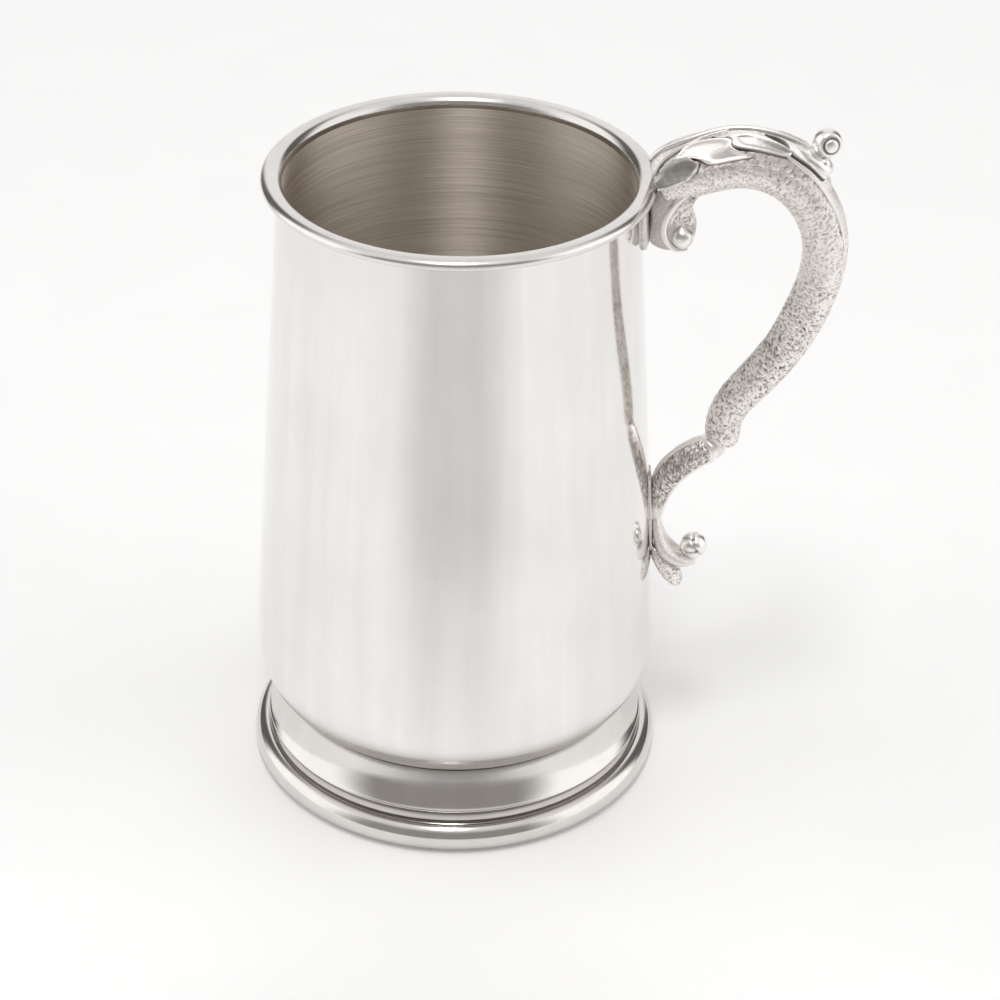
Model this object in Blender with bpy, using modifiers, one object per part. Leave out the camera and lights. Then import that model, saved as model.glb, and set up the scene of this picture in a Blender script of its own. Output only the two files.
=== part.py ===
"""Pewter pint tankard: spun cup on a spread foot with a cast double-scroll handle.

Metres, +Z up, foot standing on z = 0, handle toward +X.
"""
import math

import bmesh
import bpy
from mathutils import Vector

MM = 0.001
NAME = "pewter_tankard"

# Overall layout
CUP_X = -16.9           # cup axis, so that the bounding box centres on x = 0
STEPS = 64              # facets round every spun piece
GAP = 0.3               # clearance left between touching pieces

# Spun cup
CUP_BASE_Z = 17.3
CUP_TOP_Z = 137.1
CUP_TOP_R = 36.9
WALL = 1.3
FLOOR_T = 1.6

# Rim moulding
RIM_R = 37.9
RIM_Z = 138.3
RIM_HALF_W = 2.0
RIM_HALF_H = 1.3

# Foot
BEAD_OUTER = 44.85
BEAD_HALF_H = 2.7
BEAD_TOP = 2 * BEAD_HALF_H
COLLAR_FOOT_R = 41.0
COLLAR_NECK_R = 38.0
COLLAR_T = 1.5

# Handle
WIDTH_RATIO = 1.06      # across-the-hand width over in-plane thickness
LEAF_T = 1.3
RIDGE_HALF = 1.75       # half width kept clear of leaves along the top of the grip
LEAF_TILT = 32.0        # leaves face outward and this many degrees upward
THUMB_R = 3.0
THUMB_AT = (72.8, 149.2)
BUD_AT = (51.4, 53.0)
SADDLE_T = 1.2          # thickness of the pads soldered to the wall
BUD_R = 2.75
DROP_R = 2.2
DROP_AT = (45.8, 128.2)
DROP_WIDEN = 1.9        # the drop runs through the scroll and stands proud each side

CONTROL = {}            # parts, cutters and root, filled by setup()


def setup():
    for obj in list(bpy.data.objects):
        bpy.data.objects.remove(obj, do_unlink=True)
    for key, label in (("parts", NAME), ("cutters", NAME + "_cutters")):
        group = bpy.data.collections.new(label)
        bpy.context.scene.collection.children.link(group)
        CONTROL[key] = group
    root = bpy.data.objects.new(NAME + "_root", None)
    root.location = (CUP_X * MM, 0.0, 0.0)
    CONTROL["parts"].objects.link(root)
    CONTROL["root"] = root


def material(name, colour, roughness, metallic=1.0):
    mat = bpy.data.materials.new(name)
    mat.use_nodes = True
    shader = mat.node_tree.nodes["Principled BSDF"]
    shader.inputs["Base Color"].default_value = (*colour, 1.0)
    shader.inputs["Roughness"].default_value = roughness
    shader.inputs["Metallic"].default_value = metallic
    return mat


def polished_pewter(name):
    return material(name, (0.78, 0.77, 0.75), 0.14)


def satin_pewter(name):
    return material(name, (0.70, 0.69, 0.67), 0.30)


def cast_pewter(name):
    return material(name, (0.60, 0.58, 0.56), 0.42)


def solder_metal(name):
    return material(name, (0.66, 0.65, 0.63), 0.35)


def place(obj, mat=None, smooth=True):
    """Put a finished piece in the part collection, hung from the root."""
    for group in list(obj.users_collection):
        group.objects.unlink(obj)
    CONTROL["parts"].objects.link(obj)
    obj.parent = CONTROL["root"]
    if mat:
        obj.data.materials.clear()
        obj.data.materials.append(mat)
    if smooth:
        for face in obj.data.polygons:
            face.use_smooth = True
    return obj


def cutter(obj):
    """Keep a Boolean tool out of the part and out of renders."""
    for group in list(obj.users_collection):
        group.objects.unlink(obj)
    CONTROL["cutters"].objects.link(obj)
    obj.parent = CONTROL["root"]
    obj.hide_render = True
    obj.display_type = "WIRE"
    return obj


def as_mesh(obj, name):
    """Turn a curve into a closed mesh object of the given name."""
    scene = bpy.context.scene
    if not obj.users_collection:
        scene.collection.objects.link(obj)
    graph = bpy.context.evaluated_depsgraph_get()
    mesh = bpy.data.meshes.new_from_object(obj.evaluated_get(graph))
    stance = obj.matrix_world.copy()
    bpy.data.objects.remove(obj, do_unlink=True)
    made = bpy.data.objects.new(name, mesh)
    made.matrix_world = stance
    scene.collection.objects.link(made)
    work = bmesh.new()
    work.from_mesh(mesh)
    bmesh.ops.remove_doubles(work, verts=work.verts, dist=1e-6)
    bmesh.ops.recalc_face_normals(work, faces=work.faces)
    work.to_mesh(mesh)
    work.free()
    return made


def boolean(obj, tool, operation):
    mod = obj.modifiers.new(operation.lower(), "BOOLEAN")
    mod.operation = operation
    mod.object = tool
    mod.solver = "EXACT"


def turned(name, profile, mat=None, steps=STEPS):
    """Spin a closed (radius, height) section in millimetres about the cup axis."""
    mesh = bpy.data.meshes.new(name)
    verts = [(r * MM, 0.0, z * MM) for r, z in profile]
    edges = [(i, (i + 1) % len(verts)) for i in range(len(verts))]
    mesh.from_pydata(verts, edges, [])
    obj = bpy.data.objects.new(name, mesh)
    screw = obj.modifiers.new("turn", "SCREW")
    screw.axis = "Z"
    screw.steps = steps
    screw.render_steps = steps
    screw.use_merge_vertices = True
    screw.merge_threshold = 0.00001
    screw.use_smooth_shade = True
    return place(obj, mat, smooth=False)


def arc(cx, cz, rx, rz, start, end, count):
    """Points on an ellipse, angles in degrees, both ends included."""
    out = []
    for i in range(count + 1):
        a = math.radians(start + (end - start) * i / count)
        out.append((cx + rx * math.cos(a), cz + rz * math.sin(a)))
    return out


def cup_outer():
    """Outer side of the cup from the lip down to the foot joint."""
    return [
        (CUP_TOP_R, CUP_TOP_Z), (38.1, 115.0), (39.5, 95.0), (40.85, 75.0),
        (42.1, 55.0), (42.95, 42.0), (43.4, 34.0), (43.5, 30.0), (43.3, 27.0),
        (42.7, 24.3), (41.7, 22.0), (40.3, 19.9), (38.6, 18.2), (36.6, CUP_BASE_Z),
    ]


def wall_radius(z):
    """Outer radius of the cup wall at height z, both in millimetres."""
    side = cup_outer()
    for (r1, z1), (r0, z0) in zip(side, side[1:]):
        if z0 <= z <= z1:
            return r0 + (r1 - r0) * (z - z0) / (z1 - z0)
    return CUP_TOP_R


def build_cup():
    inner_floor = CUP_BASE_Z + FLOOR_T
    inner = [(0.0, inner_floor), (33.0, inner_floor)]
    inner += arc(33.0, inner_floor + 8.9, 8.9, 8.9, -75, 0, 5)
    inner += [(r - WALL, z) for r, z in reversed(cup_outer()[:5])]
    section = cup_outer() + [(0.0, CUP_BASE_Z)] + inner
    turned("cup_body", section, polished_pewter("cup_metal"))


def build_rim():
    seat = CUP_TOP_Z + GAP
    section = [(CUP_TOP_R - WALL, RIM_Z + 0.1)]
    section += arc(RIM_R, RIM_Z, RIM_HALF_W, RIM_HALF_H, 150, -100, 10)
    section += [(CUP_TOP_R + GAP, seat), (CUP_TOP_R - WALL, seat)]
    turned("rim_bead", section, polished_pewter("rim_metal"))


def build_foot():
    collar_top = CUP_BASE_Z - GAP
    outer = [(COLLAR_NECK_R, collar_top), (37.9, 14.9), (38.1, 12.9), (38.7, 11.4),
             (39.6, 10.2), (40.7, 9.4), (41.3, 8.9), (41.2, 8.2), (40.9, 7.2)]
    outer += [(COLLAR_FOOT_R, BEAD_TOP + GAP + 0.2)]
    inner = [(r - COLLAR_T, z - 0.4 * (z < 12)) for r, z in reversed(outer[:-1])]
    turned("foot_collar", outer + [(COLLAR_FOOT_R - 2.4, BEAD_TOP + GAP + 0.2)] + inner[1:],
           polished_pewter("collar_metal"))
    bead = arc(BEAD_OUTER - BEAD_HALF_H, BEAD_HALF_H, BEAD_HALF_H, BEAD_HALF_H, 90, -90, 10)
    bead += [(38.4, 0.0), (38.4, BEAD_TOP)]
    turned("foot_bead", bead, polished_pewter("foot_bead_metal"))
    seam_r = COLLAR_NECK_R - COLLAR_T - GAP
    turned("foot_solder", [(seam_r, collar_top), (seam_r, collar_top - 2.2),
                           (seam_r - 2.0, collar_top)], solder_metal("foot_solder_metal"))


def tube(name, points, offset=0.0, sides=5, smooth_steps=4, width=WIDTH_RATIO):
    """Swept cast bar through (x, z, radius) points lying in the handle plane."""
    data = bpy.data.curves.new(name, "CURVE")
    data.dimensions = "3D"
    data.bevel_depth = MM
    data.bevel_resolution = sides
    data.use_fill_caps = True
    data.resolution_u = smooth_steps
    spline = data.splines.new("BEZIER")
    spline.bezier_points.add(len(points) - 1)
    for knot, (x, z, radius) in zip(spline.bezier_points, points):
        knot.co = (x * MM, 0.0, z * MM)
        knot.radius = radius + offset
        knot.handle_left_type = "AUTO"
        knot.handle_right_type = "AUTO"
    obj = bpy.data.objects.new(name, data)
    bpy.context.scene.collection.objects.link(obj)
    made = as_mesh(obj, name)
    for vert in made.data.vertices:
        vert.co.y *= width
    return made


def plate(name, outline, depth, tilt=90.0, base=(0.0, 0.0, 0.0), bevel=0.0, cyclic=True):
    """Flat closed outline, given as local (u, v) millimetres, extruded both ways.

    The plate stands with u along X; tilt 90 puts v upright and the depth along Y.
    """
    data = bpy.data.curves.new(name, "CURVE")
    data.dimensions = "2D"
    data.fill_mode = "BOTH"
    data.extrude = depth * MM
    data.bevel_depth = bevel * MM
    data.bevel_resolution = 1
    data.resolution_u = 4
    spline = data.splines.new("BEZIER")
    spline.bezier_points.add(len(outline) - 1)
    for knot, (u, v) in zip(spline.bezier_points, outline):
        knot.co = (u * MM, v * MM, 0.0)
        knot.handle_left_type = "AUTO"
        knot.handle_right_type = "AUTO"
    spline.use_cyclic_u = cyclic
    obj = bpy.data.objects.new(name, data)
    obj.rotation_euler = (math.radians(tilt), 0.0, 0.0)
    obj.location = Vector(base) * MM
    bpy.context.scene.collection.objects.link(obj)
    bpy.context.view_layer.update()
    return as_mesh(obj, name)


# Handle paths: (distance from cup axis, height, half thickness)
GRIP_PATH = [
    (39.6, 138.4, 3.9), (44.4, 140.4, 4.5), (49.4, 142.2, 4.7), (55.0, 143.7, 4.8),
    (60.6, 143.4, 4.8), (66.2, 141.0, 4.9), (70.9, 136.1, 4.9), (73.6, 129.6, 4.7),
    (73.9, 122.0, 4.5), (71.6, 112.6, 4.45), (66.6, 101.6, 4.2), (60.9, 93.6, 4.0),
    (57.4, 88.4, 3.75), (56.1, 84.4, 3.6), (55.9, 81.7, 3.4), (55.1, 79.7, 2.9),
]
LOWER_PATH = [
    (54.6, 78.9, 2.3), (53.3, 77.7, 2.6), (51.2, 76.5, 2.8), (48.6, 74.6, 2.9), (45.8, 71.2, 2.8),
    (44.6, 66.6, 2.1), (44.4, 62.6, 1.5), (44.9, 58.0, 1.1),
]
CURL_PATH = [
    (45.1, 57.6, 1.0), (46.0, 54.6, 1.2), (47.4, 51.6, 1.3), (49.6, 49.8, 1.1),
    (51.6, 49.5, 0.7),
]
TAIL_PATH = [
    (44.3, 52.0, 1.0), (45.3, 49.2, 1.6), (47.0, 46.2, 1.8), (48.4, 43.7, 1.3),
    (49.1, 42.3, 0.4),
]


def seat_on_grip(obj):
    """Hollow the underside of an applied piece to follow the grip."""
    seat = cutter(tube(obj.name + "_seat", GRIP_PATH, offset=GAP))
    boolean(obj, seat, "DIFFERENCE")


def build_grip():
    """Main casting: the swept grip joined to the flat web of the upper scroll."""
    grip = tube("handle_grip", GRIP_PATH)
    web = plate("scroll_web", [(39.3, 125.0), (42.4, 124.7), (45.6, 125.5), (47.3, 127.6),
                               (47.2, 130.8), (46.6, 134.0), (48.4, 137.4), (45.0, 141.6),
                               (40.6, 141.0), (39.3, 136.2), (39.3, 130.5)], 2.2, bevel=0.9)
    cutter(web)
    trim = turned("rim_clearance", [(30.0, 146.0), (40.4, 146.0), (40.4, 137.0),
                                    (39.1, 136.6), (39.1, 118.0), (30.0, 118.0)])
    cutter(trim)
    place(grip, cast_pewter("grip_metal"))
    boolean(grip, web, "UNION")
    boolean(grip, trim, "DIFFERENCE")
    socket = cutter(ball("drop_socket", *DROP_AT, DROP_R + GAP, None, widen=DROP_WIDEN))
    boolean(grip, socket, "DIFFERENCE")


def clear_of_saddle(obj):
    """Trim a piece so that it stops short of the pad on the cup wall."""
    heights = (80.0, 60.0, 40.0)
    outer = [(wall_radius(z) + SADDLE_T + 2 * GAP, z) for z in heights]
    trim = cutter(turned(obj.name + "_clear", outer + [(30.0, 40.0), (30.0, 80.0)]))
    boolean(obj, trim, "DIFFERENCE")


def build_lower_scroll():
    scroll = tube("lower_scroll", LOWER_PATH, width=1.15)
    place(scroll, cast_pewter("lower_scroll_metal"))
    clear_of_saddle(scroll)

    curl = tube("lower_curl", CURL_PATH, sides=4, width=2.0)
    place(curl, polished_pewter("curl_metal"))
    clear_of_saddle(curl)
    socket = cutter(ball("bud_socket", *BUD_AT, BUD_R + GAP, None))
    boolean(curl, socket, "DIFFERENCE")

    tail = tube("tail_leaf", TAIL_PATH, sides=4, width=1.8)
    place(tail, cast_pewter("tail_metal"))
    clear_of_saddle(tail)
    seat = cutter(tube("tail_seat", CURL_PATH, offset=GAP, sides=4, width=2.1))
    boolean(tail, seat, "DIFFERENCE")


def ball(name, x, z, radius, mat, widen=1.0):
    mesh = bpy.data.meshes.new(name)
    work = bmesh.new()
    bmesh.ops.create_uvsphere(work, u_segments=18, v_segments=10, radius=radius * MM)
    work.to_mesh(mesh)
    work.free()
    obj = bpy.data.objects.new(name, mesh)
    obj.location = (x * MM, 0.0, z * MM)
    obj.scale = (1.0, widen, 1.0)
    return place(obj, mat)


def build_balls():
    ball("thumb_ball", *THUMB_AT, THUMB_R, polished_pewter("thumb_metal"))
    ball("scroll_drop", *DROP_AT, DROP_R, polished_pewter("drop_metal"), widen=DROP_WIDEN)
    ball("lower_bud", *BUD_AT, BUD_R, polished_pewter("bud_metal"))


def build_thumb_leaf():
    """Curled leaf that carries the thumb ball off the top of the grip."""
    path = [(65.2, 148.5, 0.7), (67.6, 147.5, 1.3), (69.8, 146.4, 1.6), (72.2, 145.0, 1.7),
            (74.2, 143.4, 1.0)]
    leaf = tube("thumb_leaf", path, sides=4, width=1.7)
    place(leaf, polished_pewter("thumb_leaf_metal"))
    seat_on_grip(leaf)
    socket = cutter(ball("thumb_socket", *THUMB_AT, THUMB_R + GAP, None))
    boolean(leaf, socket, "DIFFERENCE")


def saddle(name, low, high, half_width, mat):
    """Curved pad following the cup wall between two heights."""
    ring = turned(name, [(wall_radius(high) + GAP + SADDLE_T, high),
                         (wall_radius(low) + GAP + SADDLE_T, low),
                         (wall_radius(low) + GAP, low), (wall_radius(high) + GAP, high)], mat)
    mid = (low + high) / 2
    tall = (high - low) / 2 - 0.1
    side = half_width
    shape = plate(name + "_outline", [(side, 0.0), (side * 0.85, tall * 0.7), (0.0, tall),
                                      (-side * 0.85, tall * 0.7), (-side, 0.0),
                                      (-side * 0.85, -tall * 0.7), (0.0, -tall),
                                      (side * 0.85, -tall * 0.7)], 6.0)
    shape.rotation_euler = (math.radians(90), 0.0, math.radians(90))
    shape.location = (42.0 * MM, 0.0, mid * MM)
    cutter(shape)
    boolean(ring, shape, "INTERSECT")


def leaf_prism(name, outline, side):
    """Leaf outline carried along the direction the leaf faces, one side only."""
    tilt = 90.0 - LEAF_TILT
    lift = math.cos(math.radians(LEAF_TILT))
    ref = 145.0
    flat = [(u, (v - ref) * lift) for u, v in outline]
    prism = plate(name, flat, 12.0, tilt=tilt)
    a = math.radians(LEAF_TILT)
    prism.location = (0.0, -6.0 * math.cos(a) * MM, (ref + 6.0 * math.sin(a)) * MM)
    if side > 0:
        for vert in prism.data.vertices:
            vert.co.z = -vert.co.z
        prism.data.flip_normals()
        prism.rotation_euler = (math.radians(180.0 - tilt), 0.0, 0.0)
        prism.location.y = -prism.location.y
    return cutter(prism)


def box(name, centre, size):
    mesh = bpy.data.meshes.new(name)
    work = bmesh.new()
    bmesh.ops.create_cube(work, size=MM)
    work.to_mesh(mesh)
    work.free()
    obj = bpy.data.objects.new(name, mesh)
    obj.location = Vector(centre) * MM
    obj.scale = size
    bpy.context.scene.collection.objects.link(obj)
    return obj


LEAVES = {
    "leaf_low": [(40.9, 138.4), (41.4, 141.6), (43.2, 143.6), (46.2, 143.7),
                 (47.3, 141.6), (45.2, 138.8), (42.6, 137.6)],
    "leaf_mid": [(44.4, 145.0), (47.0, 147.6), (50.6, 149.0), (54.0, 148.6), (56.9, 145.6),
                 (52.0, 143.4), (47.6, 144.3)],
    "leaf_top": [(54.9, 149.6), (58.2, 150.2), (61.6, 149.0), (64.4, 146.8), (61.2, 146.2),
                 (58.0, 147.4)],
}


def build_leaves():
    """Three leaves a side, each following the top flank of the grip."""
    for label, outline in LEAVES.items():
        for side, suffix in ((-1, "near"), (1, "far")):
            name = label + "_" + suffix
            leaf = tube(name, GRIP_PATH, offset=GAP + LEAF_T)
            place(leaf, satin_pewter(name + "_metal"))
            boolean(leaf, leaf_prism(name + "_outline", outline, side), "INTERSECT")
            seat_on_grip(leaf)
            other = box(name + "_split", (54.0, -side * (15.0 - RIDGE_HALF), 144.0),
                        (40.0, 30.0, 30.0))
            boolean(leaf, cutter(other), "DIFFERENCE")


def build_vine():
    path = [(41.8, 144.4, 1.1), (44.9, 146.8, 1.35), (50.0, 149.2, 1.4), (55.9, 150.2, 1.4),
            (61.2, 149.5, 1.3), (64.3, 148.3, 1.0)]
    vine = tube("ridge_vine", path, sides=4, width=1.0)
    place(vine, satin_pewter("vine_metal"))
    seat_on_grip(vine)


def main():
    setup()
    build_cup()
    build_rim()
    build_foot()
    build_grip()
    build_lower_scroll()
    build_balls()
    build_thumb_leaf()
    saddle("upper_saddle", 124.6, 136.4, 4.6, cast_pewter("upper_saddle_metal"))
    saddle("lower_saddle", 50.4, 73.6, 2.9, cast_pewter("lower_saddle_metal"))
    build_leaves()
    build_vine()


main()
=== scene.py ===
"""Finished look of a one-pint pewter tankard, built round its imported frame.

Lengths are millimetres measured from the cup axis at floor level, unless a name ends
in _M. The handle lies in the plane y = 0 and points along +X; "near" is the -Y side.
"""
import math

import bmesh
import bpy
import numpy as np
from mathutils import Matrix, Vector, noise


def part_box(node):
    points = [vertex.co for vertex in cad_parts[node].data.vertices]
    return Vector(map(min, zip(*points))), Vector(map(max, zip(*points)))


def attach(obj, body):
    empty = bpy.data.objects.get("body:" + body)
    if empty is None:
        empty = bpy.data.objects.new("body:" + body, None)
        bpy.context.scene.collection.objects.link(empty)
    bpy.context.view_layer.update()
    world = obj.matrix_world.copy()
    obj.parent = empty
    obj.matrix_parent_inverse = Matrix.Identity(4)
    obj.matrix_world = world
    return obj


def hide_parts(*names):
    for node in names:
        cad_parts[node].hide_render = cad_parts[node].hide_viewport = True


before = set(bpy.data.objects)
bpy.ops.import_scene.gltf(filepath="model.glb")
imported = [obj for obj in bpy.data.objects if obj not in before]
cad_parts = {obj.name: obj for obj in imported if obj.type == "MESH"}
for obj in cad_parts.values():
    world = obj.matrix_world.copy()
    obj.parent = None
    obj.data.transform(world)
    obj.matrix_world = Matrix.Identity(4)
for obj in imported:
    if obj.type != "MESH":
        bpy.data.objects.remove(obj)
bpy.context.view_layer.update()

MM = 0.001
CUP_LOW, CUP_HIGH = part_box("cup_body")
AXIS_X_M = (CUP_LOW[0] + CUP_HIGH[0]) / 2

# Cup: wall thickness, height of its lip, and its outer side as (radius, height)
WALL = 1.3
LIP_Z = 137.1
CUP_SIDE = [
    (36.9, LIP_Z), (38.1, 115.0), (39.5, 95.0), (40.85, 75.0), (42.1, 55.0), (42.95, 42.0),
    (43.4, 34.0), (43.5, 30.0), (43.3, 27.0), (42.7, 24.3), (41.7, 22.0), (40.3, 19.9),
    (38.6, 18.2),
]
FLOOR_Z = 18.9              # upper side of the cup's floor
FOOT_JOINT = (36.6, 17.3)   # where the cup's underside starts, inside the foot

# Handle bars, as (distance from axis, height, half thickness)
GRIP = [
    (39.9, 138.5, 3.9), (44.4, 140.4, 4.5), (49.4, 142.2, 4.7), (55.0, 143.7, 4.8),
    (60.6, 143.4, 4.8), (66.2, 141.0, 4.9), (70.9, 136.1, 4.9), (73.6, 129.6, 4.7),
    (73.9, 122.0, 4.5), (71.6, 112.6, 4.45), (66.6, 101.6, 4.2), (60.9, 93.6, 4.0),
    (57.4, 88.4, 3.75), (56.1, 84.4, 3.65), (55.9, 81.7, 3.6), (55.2, 79.7, 3.1),
]
LOWER = [
    (56.2, 79.6, 2.2), (53.6, 78.0, 2.75), (51.2, 76.7, 2.95), (48.4, 74.6, 3.05),
    (45.4, 71.0, 2.9), (43.9, 66.8, 2.25), (43.2, 62.6, 1.5), (43.0, 58.4, 1.05),
    (43.4, 54.6, 0.6),
]
FOOT_LEAF = [
    (42.9, 62.2, 0.4), (43.1, 59.4, 1.0), (43.8, 55.6, 1.55), (45.3, 52.3, 1.95),
    (47.6, 50.4, 1.9), (50.1, 49.5, 1.5), (52.1, 49.6, 0.8),
]
TAIL = [
    (42.9, 53.0, 1.0), (44.2, 50.0, 1.6), (46.2, 46.9, 1.85), (47.9, 44.7, 1.6),
    (49.0, 43.2, 0.9),
]
THUMB_LEAF = [
    (64.0, 148.4, 0.8), (67.0, 147.6, 1.5), (69.6, 146.2, 1.8), (71.7, 144.7, 1.8),
    (73.3, 143.5, 1.4), (74.2, 142.9, 0.8),
]
GRIP_WIDE = 1.06
GRIP_ROUND = 4.6        # mean radius of the grip, that its texture is wrapped round
CREST = 3.1             # how far the leafy crest stands above the grip
CREST_SPAN = 75.0       # degrees either side of the top that the crest slopes down over

LEAF_WIDE = 1.75        # width of the curled leaves, as a multiple of their thickness
LATHE_SEGMENTS = 224    # round the cup and the foot

WARP = 0.6              # how far, and at what scale, the cast skin's pattern is pushed about
SKIN_SHIFT = Vector((7.3, 1.9, 4.1))    # keeps one noise of the cast skin off another

CAMERA_BEARING = math.radians(4.5)      # camera's turn from the front towards the handle
CAMERA_AWAY_M = 0.5004                  # from the cup axis, along the floor
CAMERA_HEIGHT_M = 0.3787
AIM_ASIDE_M = 0.00938                   # the view's centre, from the cup axis to the right
AIM_HEIGHT_M = 0.06156
CAMERA_ROLL = 0.019                     # radians
CAMERA_LENS = 99.0                      # mm, on a sensor 36 mm wide

FLOOR_HALF_M = 6.0      # half the width of the studio floor

# Sign and label of each side of the handle: as a sign of Y, and as a sign of the turn
# round a bar, which grows towards the near side
Y_SIDES = ((-1, "near"), (1, "far"))
TURN_SIDES = ((1, "near"), (-1, "far"))

PEWTER_TARNISH_AND_SHADE = (0.17, 0.145, 0.12)       # tarnish on the spun parts, and painted shade in their creases and recesses

MATERIALS = {}


# ---------------------------------------------------------------- curves and meshes

def spline(knots, count):
    """Natural cubic through the knots, sampled evenly by chord length."""
    pts = np.asarray(knots, float)
    gap = np.linalg.norm(np.diff(pts[:, :2], axis=0), axis=1)
    at = np.concatenate([[0.0], np.cumsum(gap)])
    size = len(pts)
    system = np.eye(size)
    right = np.zeros_like(pts)
    for i in range(1, size - 1):
        system[i, i - 1:i + 2] = (gap[i - 1], 2 * (gap[i - 1] + gap[i]), gap[i])
        right[i] = 6 * ((pts[i + 1] - pts[i]) / gap[i] - (pts[i] - pts[i - 1]) / gap[i - 1])
    bend = np.linalg.solve(system, right)
    want = np.linspace(0.0, at[-1], count)
    cell = np.clip(np.searchsorted(at, want, side="right") - 1, 0, size - 2)
    h = gap[cell][:, None]
    a = (at[cell + 1] - want)[:, None]
    b = (want - at[cell])[:, None]
    return (bend[cell] * a ** 3 / (6 * h) + bend[cell + 1] * b ** 3 / (6 * h)
            + (pts[cell] / h - bend[cell] * h / 6) * a
            + (pts[cell + 1] / h - bend[cell + 1] * h / 6) * b)


def smoothstep(low, high, x):
    """0 below low, 1 above high, and a soft step between."""
    t = np.clip((np.asarray(x, float) - low) / (high - low), 0.0, 1.0)
    return t * t * (3 - 2 * t)


def arc(cx, cz, rx, rz, start, end, count):
    """Points of an ellipse from one angle in degrees to another, both ends included."""
    turn = np.radians(np.linspace(start, end, count + 1))
    return [(cx + rx * math.cos(a), cz + rz * math.sin(a)) for a in turn]


def make_mesh(name, verts, faces, wear_and_shade=None, sharp=None):
    """Closed smooth-shaded object from millimetre points about the cup axis."""
    mesh = bpy.data.meshes.new(name)
    shifted = np.asarray(verts, float) * MM + np.array([AXIS_X_M, 0.0, 0.0])
    mesh.from_pydata(shifted.tolist(), [], [tuple(int(i) for i in f) for f in faces])
    if wear_and_shade is not None:
        layer = mesh.attributes.new("wear_and_shade", "FLOAT", "POINT")
        layer.data.foreach_set("value", np.asarray(wear_and_shade, np.float32))
    work = bmesh.new()
    work.from_mesh(mesh)
    bmesh.ops.remove_doubles(work, verts=work.verts, dist=1e-7)
    bmesh.ops.recalc_face_normals(work, faces=work.faces)
    for face in work.faces:
        face.smooth = True
    if sharp:
        limit = math.radians(sharp)
        for edge in work.edges:
            if edge.is_manifold and edge.calc_face_angle(0.0) > limit:
                edge.smooth = False
    work.to_mesh(mesh)
    work.free()
    obj = bpy.data.objects.new(name, mesh)
    bpy.context.scene.collection.objects.link(obj)
    return obj


def facing_degrees(turn):
    """Angle away from a bar's outer ridge, 0 to 180 degrees on either side."""
    return np.abs(np.degrees(np.angle(np.exp(1j * turn))))


def grid_faces(rows, cols, wrap, start=0):
    """Quads over a rows x cols block of points, closed across the columns if wrap."""
    faces = []
    last = cols if wrap else cols - 1
    for i in range(rows - 1):
        for j in range(last):
            k = (j + 1) % cols
            a = start + i * cols
            faces.append((a + j, a + k, a + cols + k, a + cols + j))
    return faces


def tube_faces(rows, cols, start=0):
    """Faces of a closed tube of rows rings, with a cap on either end."""
    last = start + (rows - 1) * cols
    caps = [list(range(start, start + cols)), list(range(last, last + cols))]
    return grid_faces(rows, cols, wrap=True, start=start) + caps


def sheet_faces(rows, cols):
    """Faces of a solid between two matching open grids, the second after the first."""
    block = rows * cols
    faces = grid_faces(rows, cols, wrap=False) + grid_faces(rows, cols, wrap=False, start=block)
    rim = list(range(cols)) + [i * cols + cols - 1 for i in range(1, rows)]
    rim += [(rows - 1) * cols + j for j in range(cols - 2, -1, -1)]
    rim += [i * cols for i in range(rows - 2, 0, -1)]
    for a, b in zip(rim, rim[1:] + rim[:1]):
        faces.append((a, b, b + block, a + block))
    return faces


def lathe(name, section, segments=LATHE_SEGMENTS, sharp=50.0):
    """Spin a closed section of (radius, height[, wear]); radius 0 closes at the axis.

    Wear is 1 where the metal is rubbed bright and 0 where it is dark with tarnish; on the cup,
    rim and foot the same value also carries painted shade, low in creases and recesses.
    Edges bent by more than sharp degrees are shaded as edges.
    """
    verts, wear_and_shade, rings = [], [], []
    turn = np.linspace(0.0, 2 * math.pi, segments, endpoint=False)
    for radius, z, *brightness in section:
        if radius < 1e-6:
            rings.append([len(verts)] * segments)
            verts.append((0.0, 0.0, z))
        else:
            rings.append(list(range(len(verts), len(verts) + segments)))
            verts += [(radius * math.cos(a), radius * math.sin(a), z) for a in turn]
        wear_and_shade += [brightness[0] if brightness else 1.0] * (len(verts) - len(wear_and_shade))
    faces = []
    for i, ring in enumerate(rings):
        nxt = rings[(i + 1) % len(rings)]
        for j in range(segments):
            k = (j + 1) % segments
            loop = []
            for index in (ring[j], nxt[j], nxt[k], ring[k]):
                if index not in loop:
                    loop.append(index)
            if len(loop) > 2:
                faces.append(loop)
    return make_mesh(name, verts, faces, wear_and_shade=wear_and_shade, sharp=sharp)


class Bar:
    """A cast bar swept along a curve in the handle plane."""

    def __init__(self, knots, wide=1.0, samples=600):
        line = spline(knots, samples)
        step = np.linalg.norm(np.diff(line[:, :2], axis=0), axis=1)
        self.run = np.concatenate([[0.0], np.cumsum(step)])
        self.length = self.run[-1]
        self.line = line
        slope = np.gradient(line[:, :2], axis=0)
        self.slope = slope / np.linalg.norm(slope, axis=1)[:, None]
        self.wide = wide

    def at(self, dist):
        """Position, half thickness and direction at a run along the bar."""
        dist = np.asarray(dist, float)
        x, z, half = (np.interp(dist, self.run, self.line[:, i]) for i in range(3))
        tx, tz = (np.interp(dist, self.run, self.slope[:, i]) for i in range(2))
        return x, z, half, tx, tz

    def surface(self, dist, turn, lift=0.0, squash=1.0):
        """Points at run dist and angle turn (0 = outer ridge, + towards near)."""
        x, z, half, tx, tz = self.at(dist)
        out = (half * squash + lift) * np.cos(turn)
        side = -(half * self.wide * squash + lift) * np.sin(turn)
        return np.stack([x - tz * out, side, z + tx * out], axis=-1)


def warped(q):
    """Point pushed about by three soft noises, the same in every run."""
    r = q * WARP
    push = (noise.noise(r + SKIN_SHIFT), noise.noise(r), noise.noise(r - SKIN_SHIFT))
    return q + WARP * Vector(push)


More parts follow.
